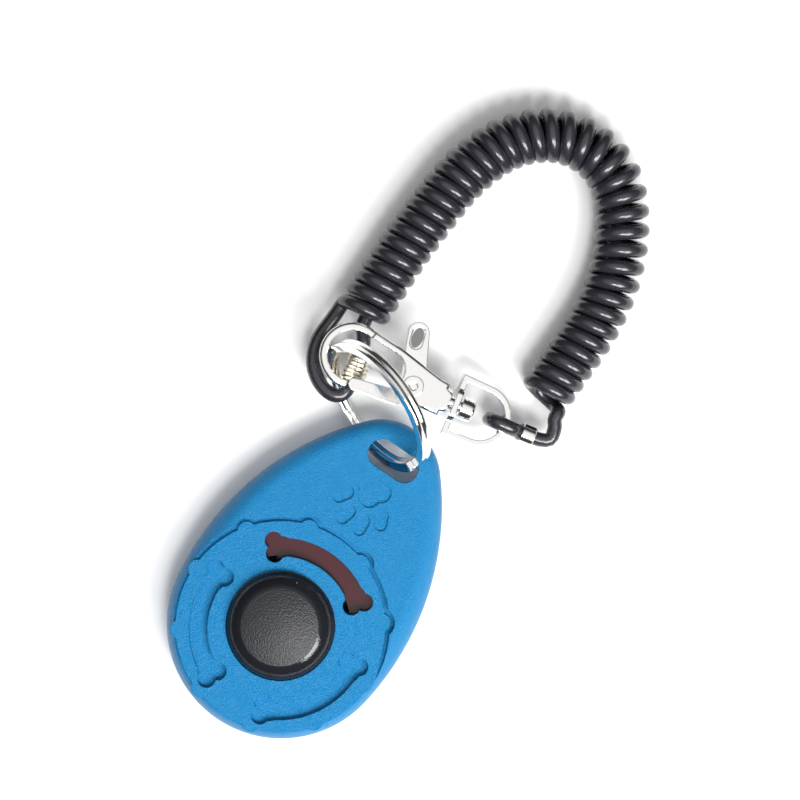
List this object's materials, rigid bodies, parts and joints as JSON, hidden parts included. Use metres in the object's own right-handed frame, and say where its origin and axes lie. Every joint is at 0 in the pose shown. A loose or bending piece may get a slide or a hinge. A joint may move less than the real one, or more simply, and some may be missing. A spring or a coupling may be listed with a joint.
{
  "type": "clicker trainer",
  "caption": "Teardrop push-button clicker on a split key ring, with a trigger snap hook, swivel eye and a coiled elastic wrist strap.",
  "frame": {"origin": "on the button's axis, on the flat back face the clicker rests on", "axes": "+Y from the button towards the narrow tip with the key ring, +Z out of the button's face, +X to the right"},
  "size_m": [0.0508, 0.1362, 0.0264],
  "materials": {
    "blue_shell": "finely textured moulded ABS",
    "black_cap": "textured face, polished skirt",
    "spring_steel": "bright rolled",
    "zinc_screw": "zinc plated",
    "maroon_holder": "plain moulded",
    "nickel": "bright nickel plate",
    "nickel_brass": "thin nickel over brass wire",
    "black_cord": "glossy polyurethane"
  },
  "bodies": {
    "housing": {"front_shell": "blue_shell", "back_shell": "blue_shell", "reed_holder": "maroon_holder", "click_reed": "spring_steel", "reed_rivets": "spring_steel", "case_screws": "zinc_screw"},
    "button": {"button_cap": "black_cap"},
    "ring": {"split_ring": "nickel"},
    "hook": {"hook_body": "nickel", "gate_rivet": "nickel", "gate_spring": "spring_steel", "swivel_post": "nickel"},
    "gate": {"gate_lever": "nickel"},
    "eye": {"swivel_eye": "nickel", "eye_loop": "black_cord", "eye_crimp": "nickel"},
    "strap": {"coil_cord": "black_cord", "ring_loop": "black_cord", "ring_crimp": "nickel_brass", "coil_lead": "black_cord"}
  },
  "joints": [
    {"name": "button_press", "type": "slide", "parent": "housing", "child": "button", "axis": [0, 0, -1], "range_m": [0, 0.0016], "stiffness_N_per_m": 1500, "deforming": ["click_reed"]},
    {"name": "ring_swing", "type": "hinge", "parent": "housing", "child": "ring", "pos_m": [0, 0.0428, 0.007], "axis": [1, 0, 0], "range_deg": [0, 25]},
    {"name": "hook_swing", "type": "hinge", "parent": "ring", "child": "hook", "pos_m": [-0.02085, 0.04874, 0.01134], "axis": [0.0148, -0.4363, -0.8997], "range_deg": [-6, 4]},
    {"name": "gate_open", "type": "hinge", "parent": "hook", "child": "gate", "pos_m": [-0.00517, 0.05176, 0.00939], "axis": [-0.1448, -0.0295, -0.989], "range_deg": [0, 20], "stiffness_Nm_per_rad": 0.01},
    {"name": "swivel_turn", "type": "hinge", "parent": "hook", "child": "eye", "pos_m": [0.00367, 0.05346, 0.00805], "axis": [0.9692, 0.1972, -0.1478], "continuous": true},
    {"name": "strap_swing", "type": "hinge", "parent": "ring", "child": "strap", "pos_m": [-0.02085, 0.04874, 0.01134], "axis": [0.0148, -0.4363, -0.8997], "range_deg": [-6, 4]}
  ],
  "couplings": [
    {"joint": "hook_swing", "follows": "strap_swing", "ratio": 1}
  ]
}
